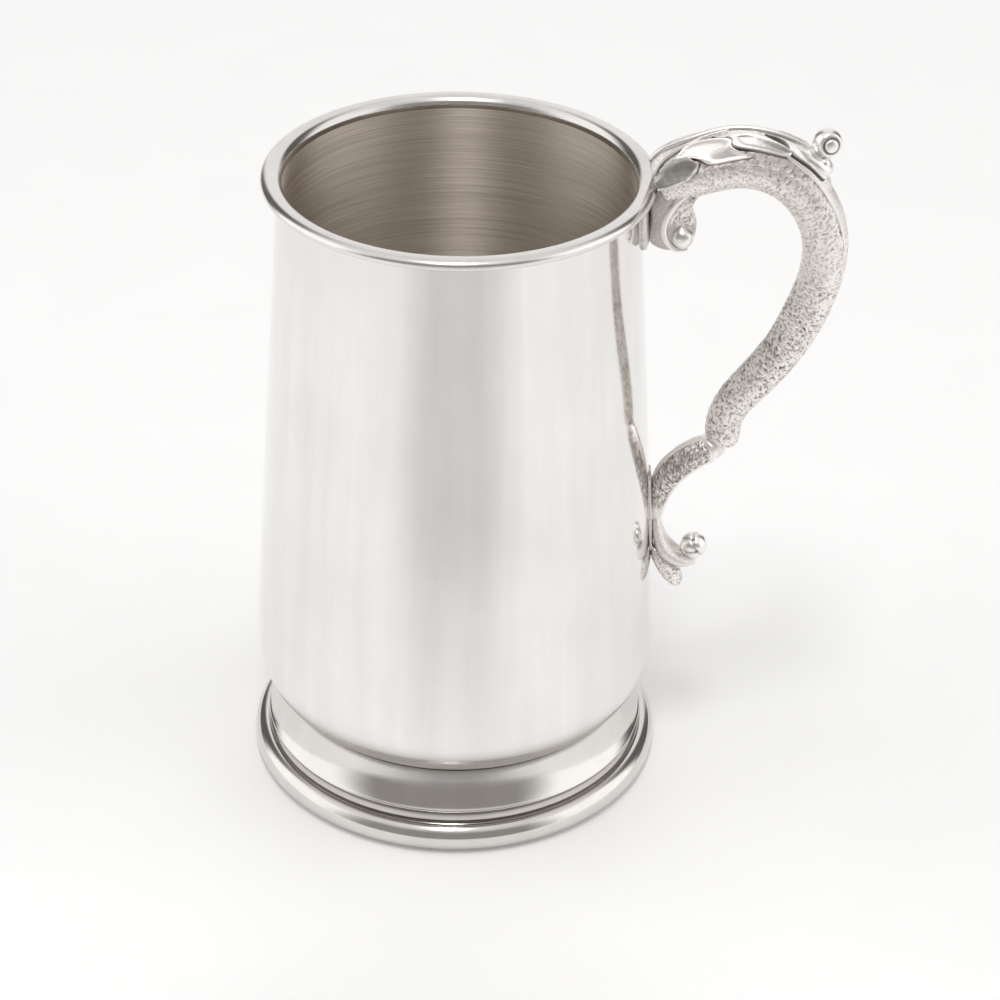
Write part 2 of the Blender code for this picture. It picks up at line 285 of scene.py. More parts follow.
def skin(points, cell, depth):
    """Cast skin: soft grain crossed by short wandering lines, with patches of pits."""
    out = np.empty(len(points))
    for i, p in enumerate(points):
        q = warped(Vector(p) / cell)
        grain = noise.noise(q * 1.35)
        line = max(0.0, 1.0 - abs(noise.noise(q * 0.95 + SKIN_SHIFT)) / 0.12)
        patch = min(max(0.35 + 1.7 * noise.noise(q * 0.15), 0.0), 1.0)
        pit = max(0.0, 1.0 - noise.voronoi(q * 0.85)[0][0] / 0.55) * patch
        out[i] = 0.15 + grain - 0.5 * line - pit
    return np.clip(out, -1.2, 0.9) * depth


def helix(dist, turn, radius, along, twist):
    """Point field wrapped round a bar, stretched along it and twisted."""
    angle = turn + twist * dist
    return np.stack([dist * along, radius * np.cos(angle), radius * np.sin(angle)], axis=-1)


def sweep(name, bar, rows, cols, round_ends, relief=None, lift=None, wear_and_shade=None):
    """Skin a bar with a closed grid; its ends are rounded over the given lengths.

    Lift and relief are functions of (run, turn) that raise the surface. The wear value is
    the relief, unless a function of (run, turn, relief) changes it.
    """
    start, stop = round_ends
    quarter = np.linspace(0, math.pi / 2, 9)
    dist = np.concatenate([
        start * (1 - np.cos(quarter))[:-1],
        np.linspace(start, bar.length - stop, rows),
        bar.length - stop * (1 - np.sin(quarter))[1:],
    ])
    shrink = np.ones(len(dist))
    head = dist < start
    shrink[head] = np.sqrt(np.clip(1 - (1 - dist[head] / start) ** 2, 0, 1))
    tail = dist > bar.length - stop
    shrink[tail] = np.sqrt(np.clip(1 - (1 - (bar.length - dist[tail]) / stop) ** 2, 0, 1))
    shrink = np.maximum(shrink, 0.02)
    turn = np.linspace(0, 2 * math.pi, cols, endpoint=False)
    dd, tt = (grid.ravel() for grid in np.meshgrid(dist, turn, indexing="ij"))
    squash = np.repeat(shrink, cols)
    raised = lift(dd, tt) * squash if lift else np.zeros(len(dd))
    shade = relief(dd, tt) * squash if relief else np.zeros(len(dd))
    points = bar.surface(dd, tt, raised + shade, squash)
    if wear_and_shade:
        shade = wear_and_shade(dd, tt, shade)
    return make_mesh(name, points, tube_faces(len(dist), cols), wear_and_shade=shade)


# ---------------------------------------------------------------- materials

class Nodes:
    """Small helper for writing a node tree line by line."""

    def __init__(self, tree):
        self.tree = tree
        self.tree.nodes.clear()

    def add(self, kind, inputs=None, **settings):
        node = self.tree.nodes.new(kind)
        for key, value in settings.items():
            setattr(node, key, value)
        for key, value in (inputs or {}).items():
            if isinstance(value, bpy.types.NodeSocket):
                self.tree.links.new(value, node.inputs[key])
            else:
                node.inputs[key].default_value = value
        return node

    def noise(self, vector, scale, detail=3.0, roughness=0.5):
        made = self.add("ShaderNodeTexNoise", {"Vector": vector, "Scale": scale,
                                               "Detail": detail, "Roughness": roughness})
        return made.outputs["Fac"]

    def ramp(self, fac, low, high, stops):
        """Colour ramp between two or more (position, colour) stops over low..high."""
        node = self.add("ShaderNodeValToRGB", {"Fac": self.span(fac, low, high, 0.0, 1.0)})
        marks = node.color_ramp.elements
        marks[0].position, marks[0].color = stops[0][0], (*stops[0][1], 1.0)
        marks[1].position, marks[1].color = stops[-1][0], (*stops[-1][1], 1.0)
        for position, colour in stops[1:-1]:
            mark = marks.new(position)
            mark.color = (*colour, 1.0)
        return node.outputs["Color"]

    def span(self, fac, from_min, from_max, to_min, to_max, kind="LINEAR"):
        """Value moved from one range to another and held at its ends."""
        return self.add("ShaderNodeMapRange", {
            "Value": fac, "From Min": from_min, "From Max": from_max,
            "To Min": to_min, "To Max": to_max}, interpolation_type=kind).outputs["Result"]

    def fade(self, fac, from_min, from_max, to_min=0.0, to_max=1.0):
        """The same with a soft step."""
        return self.span(fac, from_min, from_max, to_min, to_max, "SMOOTHSTEP")

    def maths(self, operation, first, second):
        return self.add("ShaderNodeMath", {0: first, 1: second},
                        operation=operation).outputs["Value"]

    def scaled(self, vector, scale):
        made = self.add("ShaderNodeMapping", {"Vector": vector, "Scale": scale})
        return made.outputs["Vector"]

    def wear_and_shade(self):
        """The wear value that every mesh carries on its points; on the spun parts it also
        carries painted shade.
        """
        return self.add("ShaderNodeAttribute", attribute_name="wear_and_shade").outputs["Fac"]

    def bump(self, height, distance, strength=1.0, normal=None):
        inputs = {"Height": height, "Distance": distance, "Strength": strength}
        if normal is not None:
            inputs["Normal"] = normal
        return self.add("ShaderNodeBump", inputs).outputs["Normal"]


def metal(name):
    """Start a metallic material; returns its node helper, shader and object coordinates."""
    mat = bpy.data.materials.new(name)
    mat.use_nodes = True
    nodes = Nodes(mat.node_tree)
    shader = nodes.add("ShaderNodeBsdfPrincipled", {"Metallic": 1.0})
    output = nodes.add("ShaderNodeOutputMaterial")
    mat.node_tree.links.new(shader.outputs["BSDF"], output.inputs["Surface"])
    place = nodes.add("ShaderNodeTexCoord").outputs["Object"]
    MATERIALS[name] = mat
    return nodes, shader, place


def join(nodes, value, shader, socket):
    """Link a value to one of the shader's inputs."""
    nodes.tree.links.new(value, shader.inputs[socket])


def polished(name, light, rough):
    """Spun and buffed pewter: almost a mirror, tarnished where nothing rubs it, and dark with
    painted shade where its creases and recesses carry a low wear value.
    """
    n, shader, place = metal(name)
    wear_and_shade = n.wear_and_shade()
    rings = n.noise(n.scaled(place, (14.0, 14.0, 2600.0)), 1.0, 2.0)
    streaks = n.noise(n.scaled(place, (150.0, 150.0, 5.0)), 1.0, 3.0, 0.6)
    cloud = n.noise(place, 34.0, 4.0, 0.55)
    mix = n.maths("ADD", n.maths("MULTIPLY", cloud, 0.5), n.maths("MULTIPLY", streaks, 0.5))
    brightness = n.span(mix, 0.35, 0.65, 0.86, 1.0)
    shade = n.maths("MULTIPLY", wear_and_shade, brightness)
    colour = n.ramp(shade, 0.0, 1.0, [(0.0, PEWTER_TARNISH_AND_SHADE), (1.0, light)])
    join(n, colour, shader, "Base Color")
    haze = n.maths("ADD", n.span(rings, 0.3, 0.7, 0.0, 0.035),
                   n.span(mix, 0.35, 0.65, rough, rough + 0.05))
    tarnish_and_shade = n.span(wear_and_shade, 0.2, 0.9, 0.3, 0.0)
    join(n, n.maths("ADD", haze, tarnish_and_shade), shader, "Roughness")
    wave = n.bump(n.noise(place, 55.0, 1.0), 0.00006)
    join(n, n.bump(rings, 0.0000015, 0.6, wave), shader, "Normal")


def satin_inside():
    """Inside of the cup, left with fine rings by the turning tool."""
    n, shader, place = metal("satin_pewter_look")
    fine = n.noise(n.scaled(place, (34.0, 34.0, 3600.0)), 1.0, 4.0, 0.7)
    broad = n.noise(n.scaled(place, (16.0, 16.0, 700.0)), 1.0, 3.0, 0.6)
    both = n.maths("ADD", n.maths("MULTIPLY", fine, 0.85), n.maths("MULTIPLY", broad, 0.15))
    colour = n.ramp(both, 0.35, 0.65, [(0.0, (0.66, 0.59, 0.515)), (1.0, (0.95, 0.86, 0.76))])
    join(n, colour, shader, "Base Color")
    join(n, n.span(both, 0.35, 0.65, 0.46, 0.58), shader, "Roughness")
    join(n, n.bump(both, 0.00005, 1.0), shader, "Normal")
    shader.inputs["Anisotropic"].default_value = 0.96
    shader.inputs["Anisotropic Rotation"].default_value = 0.25
    tangent = n.add("ShaderNodeTangent", direction_type="RADIAL", axis="Z")
    join(n, tangent.outputs["Tangent"], shader, "Tangent")


def worn_metal(name, dark, light, rough, wear_span, grain, grain_depth, speck):
    """Cast pewter, bright where it stands proud and dark in its hollows.

    Rough is the roughness where it is bright and where it is dark, wear_span the wear
    values at which it is darkest and brightest, and grain the fineness of its grit.
    """
    n, shader, place = metal(name)
    wear_and_shade = n.wear_and_shade()
    grit = n.noise(place, grain, 4.0, 0.62)
    pits = n.add("ShaderNodeTexVoronoi", {"Vector": place, "Scale": grain * 1.15,
                                          "Randomness": 1.0}).outputs["Distance"]
    pits = n.span(pits, 0.0, 0.75, 1.0, 0.0)
    relief = n.maths("ADD", n.maths("MULTIPLY", grit, 0.6), n.maths("MULTIPLY", pits, 0.4))
    shown = n.span(wear_and_shade, wear_span[0], wear_span[1], 0.0, 1.0)
    speckled = n.maths("ADD", shown, n.span(relief, 0.35, 0.75, -speck, speck))
    middle = tuple((a + b) / 2 for a, b in zip(dark, light))
    colour = n.ramp(speckled, 0.0, 1.0, [(0.0, dark), (0.5, middle), (0.85, light)])
    join(n, colour, shader, "Base Color")
    join(n, n.span(speckled, 0.0, 1.0, rough[1], rough[0]), shader, "Roughness")
    join(n, n.bump(relief, grain_depth), shader, "Normal")


def build_materials():
    """All looks by name; each name ends in _look and is used by dress()."""
    polished("polished_pewter_look", light=(0.885, 0.87, 0.85), rough=0.05)
    polished("rim_pewter_look", light=(0.84, 0.82, 0.80), rough=0.14)
    # The foot's colour is darker than the cup's: partly tarnish, partly painted shade for the
    # dim floor that it reflects.
    polished("foot_pewter_look", light=(0.78, 0.755, 0.73), rough=0.09)
    satin_inside()
    worn_metal("cast_pewter_look", dark=(0.32, 0.28, 0.26), light=(0.96, 0.92, 0.89),
               rough=(0.4, 0.58), wear_span=(-0.17, 0.04), grain=2600.0,
               grain_depth=0.00004, speck=0.14)
    worn_metal("leaf_pewter_look", dark=(0.20, 0.18, 0.165), light=(0.93, 0.91, 0.885),
               rough=(0.28, 0.45), wear_span=(-0.75, 0.1), grain=900.0,
               grain_depth=0.00003, speck=0.1)


def dress(obj, look, slot, *nodes):
    """Give a piece its material and its body, and hide the CAD nodes it stands for. The slot is
    not used.
    """
    obj.data.materials.clear()
    for name in (look if isinstance(look, tuple) else (look,)):
        obj.data.materials.append(MATERIALS[name])
    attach(obj, "root")
    if nodes:
        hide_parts(*nodes)
    return obj


# ---------------------------------------------------------------- cup and foot

def cup_inner():
    """Inner side of the cup, from the middle of the floor up to the lip."""
    side = spline(CUP_SIDE[:6], 60)
    corner = 8.9
    flat = 33.0
    inner = [(0.0, FLOOR_Z), (16.0, FLOOR_Z), (30.0, FLOOR_Z), (flat, FLOOR_Z)]
    inner += arc(flat, FLOOR_Z + corner, corner, corner, -82, 0, 14)
    inner += [(r - WALL, z) for r, z in reversed([tuple(p) for p in side])]
    return inner


def is_inside(face):
    """Whether a face of the cup belongs to its satin inside rather than its outside."""
    x = face.center.x - AXIS_X_M
    y = face.center.y
    z = face.center.z / MM
    if z <= FLOOR_Z - 0.1:
        return False
    faces_axis = face.normal.x * x + face.normal.y * y < 0
    on_floor = math.hypot(x, y) / MM < 41.0 and z < 24.0 and face.normal.z > 0.2
    return faces_axis or on_floor


def build_cup():
    """Spun cup, polished outside and satin inside, with painted shade darkening its bottom
    crease.
    """
    # Painted shade: the outer wall darkens below 27 mm into its crease over the foot, and the
    # crease is dark.
    outer = [(r, z, 0.35 + 0.65 * float(smoothstep(20.5, 27.0, z)))
             for r, z in spline(CUP_SIDE, 90)]
    outer += [(37.6, 17.55, 0.2), (*FOOT_JOINT, 0.2), (20.0, FOOT_JOINT[1]),
              (0.0, FOOT_JOINT[1])]
    cup = lathe("cup", outer + cup_inner())
    dress(cup, ("polished_pewter_look", "satin_pewter_look"), "polished_pewter", "cup_body")
    for face in cup.data.polygons:
        if is_inside(face):
            face.material_index = 1


def build_rim():
    """Rolled moulding on the lip, with painted shade in the crease under it."""
    seat = LIP_Z + 0.02
    section = [(35.62, seat), (35.60, 137.7), (35.72, 138.5)]
    section += arc(37.9, 138.3, 2.0, 1.3, 158, -84, 30)
    # Painted shade: the moulding darkens down its outer face, and its underside and the crease
    # under it are dark.
    section = [(r, z, float(smoothstep(136.95, 137.5, z)) if r > 36.2 else 0.85)
               for r, z in section]
    section += [(37.5, 136.98, 0.0), (37.1, 136.8, 0.0), (36.93, 136.55, 0.0),
                (36.93, seat, 0.0)]
    rim = lathe("rim", section, sharp=60.0)
    dress(rim, "rim_pewter_look", "polished_pewter", "rim_bead")


def build_collar():
    """Spread ring under the cup: a cove, a recess and a narrow neck, with painted shade at the
    top of the cove and in the recess, and some tarnish on the neck.
    """
    cove = spline([(37.7, 17.25), (38.25, 15.7), (38.82, 14.1), (39.42, 12.6), (40.05, 11.3),
                   (40.7, 10.25), (41.3, 9.5)], 30)
    # Painted shade: the cove darkens at its top, under the cup.
    outer = [(r, z, 1.0 - 0.7 * float(smoothstep(16.0, 17.2, z))) for r, z in cove]
    # Painted shade in the recess, with tarnish greying the neck below it.
    outer += [(41.5, 9.36), (41.62, 9.2), (41.6, 9.0, 0.7), (41.4, 8.84, 0.2), (41.0, 8.7, 0.0),
              (40.85, 8.4, 0.0), (40.98, 8.12, 0.2), (41.12, 7.7, 0.7), (41.3, 7.1, 0.8),
              (41.38, 6.74, 0.6), (41.1, 6.5, 0.2), (40.6, 5.5, 0.0)]
    inner = [(39.3, 5.5), (39.3, 8.0), (38.4, 9.2), (37.6, 10.8), (36.9, 12.6), (36.5, 14.6),
             (36.4, 17.2)]
    collar = lathe("foot_collar_ring", outer + inner)
    dress(collar, "foot_pewter_look", "polished_pewter", "foot_collar")


def build_base():
    """Half-round moulding that the tankard stands on, with painted shade in its upper corner
    and towards the floor, and the solder inside the foot.
    """
    middle, level = 41.95, 2.8
    reach, rise, fall = 2.9, 3.5, 2.75
    # Painted shade: dark in the corner under the neck, and darker along the bead's inner top.
    bead = [(40.8, 6.5, 0.2), (41.15, 6.46, 0.1)]
    bead += [(r, z, min(1.0, 0.25 + (r - 41.4) * 1.5))
             for r, z in arc(middle, level, reach, rise, 98, 0, 22)]
    # Painted shade: the bead darkens towards the floor it stands on.
    bead += [(r, z, 0.66 + 0.34 * float(smoothstep(1.2, 3.0, z)))
             for r, z in arc(middle, level, reach, fall, -6, -72, 12)]
    bead += [(42.4, 0.0, 0.3), (39.2, 0.0), (38.5, 0.5), (38.4, 1.2), (38.4, 5.0),
             (38.8, 5.3, 0.2)]
    moulding = lathe("base_moulding", bead)
    dress(moulding, "foot_pewter_look", "polished_pewter", "foot_bead")

    fillet = [(36.45, 17.25), (36.4, 15.2), (36.1, 15.6), (35.7, 16.4), (34.8, 16.95),
              (34.2, 17.25)]
    seam = lathe("foot_seam", fillet, segments=128, sharp=60.0)
    dress(seam, "satin_pewter_look", "satin_pewter", "foot_solder")


# ---------------------------------------------------------------- handle castings

def grip_relief(dist, turn):
    """Fine pits on the bow, drawn out into slanting strokes further down the grip."""
    low = smoothstep(40.0, 62.0, dist)
    pits = skin(helix(dist, turn, GRIP_ROUND, 1.0, 0.0), 0.68, 0.115)
    strokes = skin(helix(dist, turn, GRIP_ROUND, 1.35, 0.12), 0.84, 0.21)
    smooth_back = ((1 - smoothstep(36.0, 44.0, facing_degrees(turn)))
                   * (1 - smoothstep(38.0, 46.0, dist)))
    return (pits * (1 - low) + strokes * low) * (1 - 0.85 * smooth_back)


def build_grip(bar):
    """Upper bar of the handle, from the wall over the bow down to the knuckle."""
    def heel(dist, turn):
        """Small heel at the outer corner of the knuckle."""
        return (0.25 * np.exp(-((dist - bar.length + 1.6) / 1.2) ** 2)
                * np.clip(np.cos(turn), 0, 1) ** 2)

    grip = sweep("grip", bar, 625, 148, (1.2, 1.0), relief=grip_relief, lift=heel)
    dress(grip, "cast_pewter_look", "cast_pewter", "handle_grip")


def build_lower_scroll():
    """Lower bar: a tarnished, textured panel on each flank in a bright rolled border."""
    crown_sides = 108.0     # degrees that the border's crown is centred on, on each flank
    crown_half = 72.0

    def crown_bow(facing):
        """How much further along the crown lies at its ends than at its centre."""
        return 1.9 * ((facing - crown_sides) / crown_half) ** 2

    def border(dist, turn):
        """Share of the rolled border that frames the textured panel on each flank."""
        facing = facing_degrees(turn)
        edges = np.exp(-((facing - 180) / 11) ** 2) + np.exp(-((facing - 36) / 9) ** 2)
        crown = np.exp(-((dist - 2.0 - crown_bow(facing)) / 0.6) ** 2)
        crown = crown * (np.abs(facing - crown_sides) < crown_half + 1)
        return np.clip(edges * smoothstep(3.0, 4.2, dist) + crown, 0, 1)

    def panel(dist, turn):
        """Share of the textured panel inside that border."""
        facing = facing_degrees(turn)
        flank = smoothstep(42.0, 50.0, facing) * (1 - smoothstep(160.0, 168.0, facing))
        run = dist - 2.7 - crown_bow(facing)
        return flank * smoothstep(0.0, 0.7, run) * (1 - smoothstep(20.0, 24.0, dist))

    def strokes(dist, turn):
        cut = skin(helix(dist, turn, 3.0, 0.8, 0.25), 0.6, 0.19)
        return cut * panel(dist, turn) + 0.04 * border(dist, turn)

    def worn(dist, turn, shade):
        """The panel is tarnished, and its border is rubbed bright."""
        return shade - 0.07 * panel(dist, turn) + 0.1 * border(dist, turn)

    def raised(dist, turn):
        return 0.26 * border(dist, turn)

    scroll = sweep("scroll", Bar(LOWER, 1.15), 220, 110, (1.2, 1.0), relief=strokes,
                   lift=raised, wear_and_shade=worn)
    dress(scroll, "cast_pewter_look", "cast_pewter", "lower_scroll")


def pillow(name, outline, half, relief):
    """Flat casting with rounded edges, the same on both faces, from its outline."""
    rings = 22
    edge_power = 5.0        # higher keeps the faces flat nearer to the edge
    loop = np.asarray(list(outline) + [outline[0]], float)
    closed = spline(np.vstack([loop[-3:-1], loop, loop[1:3]]), 460)
    first = np.argmin(np.hypot(*(closed[20:200] - loop[0]).T)) + 20
    last = np.argmin(np.hypot(*(closed[260:440] - loop[0]).T)) + 260
    ring = closed[first:last]
    centre = ring.mean(axis=0)
    verts = []
    for side in (-1.0, 1.0):
        steps = np.sin(np.linspace(0.02, math.pi / 2, rings))
        for s in (steps if side < 0 else steps[::-1][1:]):
            y = side * half * (1 - s ** edge_power) ** (1 / 2.2)
            for x, z in centre + (ring - centre) * s:
                verts.append((x, y, z))
    verts = np.array(verts)
    shade = relief(verts)
    verts[:, 1] += np.sign(verts[:, 1]) * shade
    return make_mesh(name, verts, tube_faces(2 * rings - 1, len(ring)), wear_and_shade=shade)


CURL = [(48.0, 139.2), (45.4, 137.6), (43.2, 135.2), (41.9, 132.4), (41.5, 129.6),
        (42.4, 127.0), (44.4, 125.6), (46.4, 125.9)]


def build_upper_scroll():
    """Rolled upper end of the grip, with a raised edge and a drop on either side."""
    web = [(38.4, 126.4), (40.2, 124.9), (44.0, 124.5), (46.8, 125.9), (47.9, 128.9),
           (47.7, 131.6), (47.0, 133.6), (47.6, 136.0), (48.6, 138.2), (45.0, 140.4),
           (41.0, 139.8), (38.5, 136.5), (38.3, 131.0)]
    edge = spline(CURL, 120)

    def outside_curl(points):
        """Cast skin only between the raised edge and the outer side of the scroll."""
        gap = points[:, None, [0, 2]] - edge[None, ::6, :]
        nearest = np.argmin((gap ** 2).sum(axis=2), axis=1)
        mask = smoothstep(0.2, 0.9, gap[np.arange(len(points)), nearest, 0])
        mask = mask * smoothstep(130.5, 132.0, points[:, 2])
        return skin(points, 0.7, 0.18) * mask - 0.055 * (1 - mask)

    root = pillow("scroll_root", web, 3.2, outside_curl)
    dress(root, "cast_pewter_look", "cast_pewter")
    for side, label in Y_SIDES:
        wire = tube_along(f"curl_edge_{label}", [(x, side * 2.95, z) for x, z in edge],
                          tapered(0.8, 0.12, 0.8, 0.7))
        dress(wire, "leaf_pewter_look", "leaf_pewter")

    drops = teardrops("drop", [(45.3, side * 2.75, 128.3) for side, _ in Y_SIDES], 2.3)
    dress(drops, "leaf_pewter_look", "leaf_pewter", "scroll_drop")


def tapered(radius, first, span, power):
    """Radius as a function of the share travelled: thin, full, then thin again."""
    return lambda share: radius * math.sin(math.pi * (first + span * share)) ** power


def tube_along(name, points, radius):
    """Round wire along any 3-D points, its radius a function of the share travelled."""
    cols = 16
    pts = np.asarray(points, float)
    tangent = np.gradient(pts, axis=0)
    tangent /= np.linalg.norm(tangent, axis=1)[:, None]
    verts = []
    up = np.array([0.0, 1.0, 0.0])
    for i, (point, along) in enumerate(zip(pts, tangent)):
        across = np.cross(along, up)
        across /= np.linalg.norm(across)
        top = np.cross(across, along)
        r = radius(i / (len(pts) - 1))
        for a in np.linspace(0, 2 * math.pi, cols, endpoint=False):
            verts.append(point + r * (math.cos(a) * across + math.sin(a) * top))
    return make_mesh(name, verts, tube_faces(len(pts), cols), wear_and_shade=np.full(len(verts), 0.3))


def teardrops(name, places, radius):
    """Ball with a short drawn-out tail rising along the scroll, one for each place."""
    rows, cols = 56, 48
    verts, faces, wear_and_shade = [], [], []
    for cx, cy, cz in places:
        faces += tube_faces(rows, cols, start=len(verts))
        for i in range(rows):
            up = -1.0 + 2.75 * (i / (rows - 1)) ** 1.15
            ball_r = math.sqrt(max(1.0 - up * up, 0.0))
            tail_r = 0.92 * math.exp(-((up - 0.3) / 0.78) ** 2) if up > 0.3 else 0.0
            r = max(ball_r, tail_r, 0.03) * radius
            for j in range(cols):
                b = 2 * math.pi * j / cols
                verts.append((cx - 0.5 * max(0.0, up - 0.4) + r * math.cos(b),
                              cy + r * math.sin(b) * 0.9, cz + up * radius))
                wear_and_shade.append(0.2 - 0.35 * max(0.0, up))
    return make_mesh(name, verts, faces, wear_and_shade=wear_and_shade)


def wall_radius(z):
    """Outer radius of the cup at a height."""
    side = CUP_SIDE[::-1]
    return float(np.interp(z, [p[1] for p in side], [p[0] for p in side]))


def pad(name, low, high, half_width, thick, node, shoulder):
    """Saddle that hugs the cup wall, its edges rolled down to the metal.

    A higher shoulder makes its outline squarer.
    """
    sunk = 0.4              # how far its hidden face lies inside the wall's outer side
    mid, tall = (low + high) / 2, (high - low) / 2
    rows, cols = 60, 36
    verts, wear_and_shade = [], []
    for layer in (0, 1):
        for i in range(rows):
            v = -1 + 2 * i / (rows - 1)
            width = half_width * (1 - abs(v) ** shoulder) ** (1 / shoulder) + 0.02
            for j in range(cols):
                u = -1 + 2 * j / (cols - 1)
                z = mid + v * tall
                edge = max(abs(u), abs(v)) ** 6
                radius = wall_radius(z) + (-sunk if layer else thick * (1 - edge) ** 0.5)
                a = u * width / radius
                verts.append((radius * math.cos(a), radius * math.sin(a), z))
                wear_and_shade.append(0.25 - 0.6 * edge)
    obj = make_mesh(name, verts, sheet_faces(rows, cols), wear_and_shade=wear_and_shade)
    dress(obj, "leaf_pewter_look", "satin_pewter", node)


def build_pads():
    """The two saddles between the wall and the handle."""
    pad("upper_pad", 125.0, 136.6, 4.3, 1.25, "upper_saddle", shoulder=5.0)
    pad("lower_pad", 51.0, 72.6, 2.2, 0.55, "lower_saddle", shoulder=3.0)


def build_foot_leaf():
    """Satin leaf that curls out below the lower joint, with a rough tail under it."""
    bar = Bar(FOOT_LEAF, LEAF_WIDE, samples=300)

    def channel(dist, turn):
        """Hollow along the upper face between two rolled edges."""
        top = np.clip(-np.cos(turn), 0, 1)
        fade = smoothstep(3.0, 6.0, dist) * smoothstep(0.0, 2.0, bar.length - dist)
        return -0.3 * fade * top ** 3

    def worn(dist, turn, _):
        return -0.16 * np.clip(-np.cos(turn), 0, 1) ** 3

    def tail_skin(dist, turn):
        return skin(helix(dist, turn, 2.4, 0.8, 0.2), 0.62, 0.14)

    foot_leaf = sweep("foot_leaf", bar, 110, 72, (1.6, 0.6), lift=channel, wear_and_shade=worn)
    dress(foot_leaf, "cast_pewter_look", "leaf_pewter", "lower_curl")

    tail = sweep("tail", Bar(TAIL, 1.8, samples=300), 90, 64, (0.8, 1.0), relief=tail_skin)
    dress(tail, "cast_pewter_look", "cast_pewter", "tail_leaf")


def ball(name, centre, radius, nodes=(), groove=0.0, groove_at=58.0, petals=0,
         axis=(0.0, 0.0, 1.0)):
    """Turned ball with an optional groove and shallow petals round its axis.

    The groove is as deep as its value and lies groove_at degrees from the axis.
    """
    rows, cols = 56, 80
    up = Vector((0.0, 0.0, 1.0))
    turn = up.rotation_difference(Vector(axis).normalized()).to_matrix()
    verts, wear_and_shade = [], []
    for i in range(rows):
        a = math.pi * (i + 0.02) / (rows - 0.96)
        cut = groove * math.exp(-((math.degrees(a) - groove_at) / 7.0) ** 2)
        for j in range(cols):
            b = 2 * math.pi * j / cols
            dip = cut
            if petals:
                crease = abs(math.sin(petals * b / 2 + 0.8 * a)) ** 0.35
                dip += 0.15 * radius * (1 - crease) * math.sin(a) ** 2
            r = radius - dip
            p = Vector((r * math.sin(a) * math.cos(b), r * math.sin(a) * math.sin(b),
                        r * math.cos(a)))
            verts.append(Vector(centre) + turn @ p)
            wear_and_shade.append(0.35 - 3.0 * dip)
    obj = make_mesh(name, verts, tube_faces(rows, cols), wear_and_shade=wear_and_shade)
    dress(obj, "leaf_pewter_look", "leaf_pewter", *nodes)


def build_balls():
    """Capped ball on the thumb leaf, two beads under it, and the bud on the lower curl."""
    ball("thumb_knob", (72.7, 0.0, 149.15), 2.98, ("thumb_ball",), groove=0.42,
         groove_at=36.0, axis=(0.32, -0.94, 0.13))
    for side, label in Y_SIDES:
        ball(f"thumb_bead_{label}", (72.3, side * 1.3, 145.3), 1.25)
    ball("bud", (51.45, 0.0, 53.1), 2.95, ("lower_bud",), groove=0.2, petals=5,
         axis=(0.8, -0.3, 0.5))


# ---------------------------------------------------------------- leaves on the crest

def crest_lift(dist, turn):
    """Height of the roof-shaped crest over the grip, before any leaf."""
    share = np.clip(1 - np.abs(np.degrees(turn)) / CREST_SPAN, 0, 1)
    ends = smoothstep(-4.0, 4.0, dist) * (1 - smoothstep(27.0, 36.0, dist))
    return CREST * share * ends


def build_crest(bar):
    """Plain roof under the leaves, joined to the grip along its lower edges."""
    rows, cols = 210, 90
    dist = np.linspace(0.1, 36.0, rows)
    turn = np.radians(np.linspace(-CREST_SPAN + 2, CREST_SPAN - 2, cols))
    dd, tt = np.meshgrid(dist, turn, indexing="ij")
    facing = np.abs(np.degrees(tt.ravel()))
    rough = skin(helix(dd.ravel(), tt.ravel(), GRIP_ROUND, 1.0, 0.0), 0.72, 0.15)
    rough = rough * (0.25 + 0.75 * smoothstep(36.0, 46.0, facing))
    lift = crest_lift(dd, tt).ravel() - 0.42 + rough
    top = bar.surface(dd.ravel(), tt.ravel(), lift)
    under = bar.surface(dd.ravel(), tt.ravel(), -0.8)
    obj = shell("crest", top, under, rows, cols, rough)
    dress(obj, "cast_pewter_look", "cast_pewter")


def shell(name, top, under, rows, cols, wear_and_shade):
    """Close two matching open grids into one solid; both carry the same wear."""
    return make_mesh(name, np.vstack([top, under]), sheet_faces(rows, cols),
                     wear_and_shade=np.concatenate([wear_and_shade, wear_and_shade]))


def leaf(name, bar, upper, lower, side, nodes, tarnish_and_shade, look):
    """Leaf lying on the crest between an upper and a lower edge line.

    Each edge is a list of (run along the grip, degrees down from the ridge); both start
    at the leaf's foot and end at its tip. Its margins are rolled and its face is hollow.
    """
    rim = 0.22              # height of the rolled margin
    hollow = 0.3            # depth of the middle
    round_grip = 6.0        # radius that turns degrees into a width
    rows, cols = 90, 44
    high = spline(upper, rows)
    low = spline(lower, rows)
    across = np.linspace(0.0, 1.0, cols)
    dist = high[:, 0:1] + (low[:, 0:1] - high[:, 0:1]) * across
    deg = high[:, 1:2] + (low[:, 1:2] - high[:, 1:2]) * across
    wide = np.radians(np.abs(low[:, 1:2] - high[:, 1:2])) * round_grip
    reach = np.clip(wide / 3.0, 0.0, 1.0)
    edge = np.minimum(across, 1 - across)[None, :] * np.maximum(wide, 0.3)
    roll = np.exp(-((edge - 0.42) / 0.34) ** 2)
    drop = np.clip(edge / 0.32, 0, 1)
    bowl = np.sin(math.pi * across)[None, :] ** 1.2
    relief = (rim * roll + 0.3) * drop - hollow * bowl * reach - 0.45 * (1 - drop)
    turn = np.radians(deg) * side
    lift = crest_lift(dist, turn) + relief
    top = bar.surface(dist.ravel(), turn.ravel(), lift.ravel())
    under = bar.surface(dist.ravel(), turn.ravel(), -0.4)
    shade = 0.3 * roll * drop - 0.2 * bowl * reach + 0.15 - tarnish_and_shade - 1.6 * (1 - drop)
    obj = shell(name, top, under, rows, cols, shade.ravel())
    dress(obj, look, "leaf_pewter", *nodes)


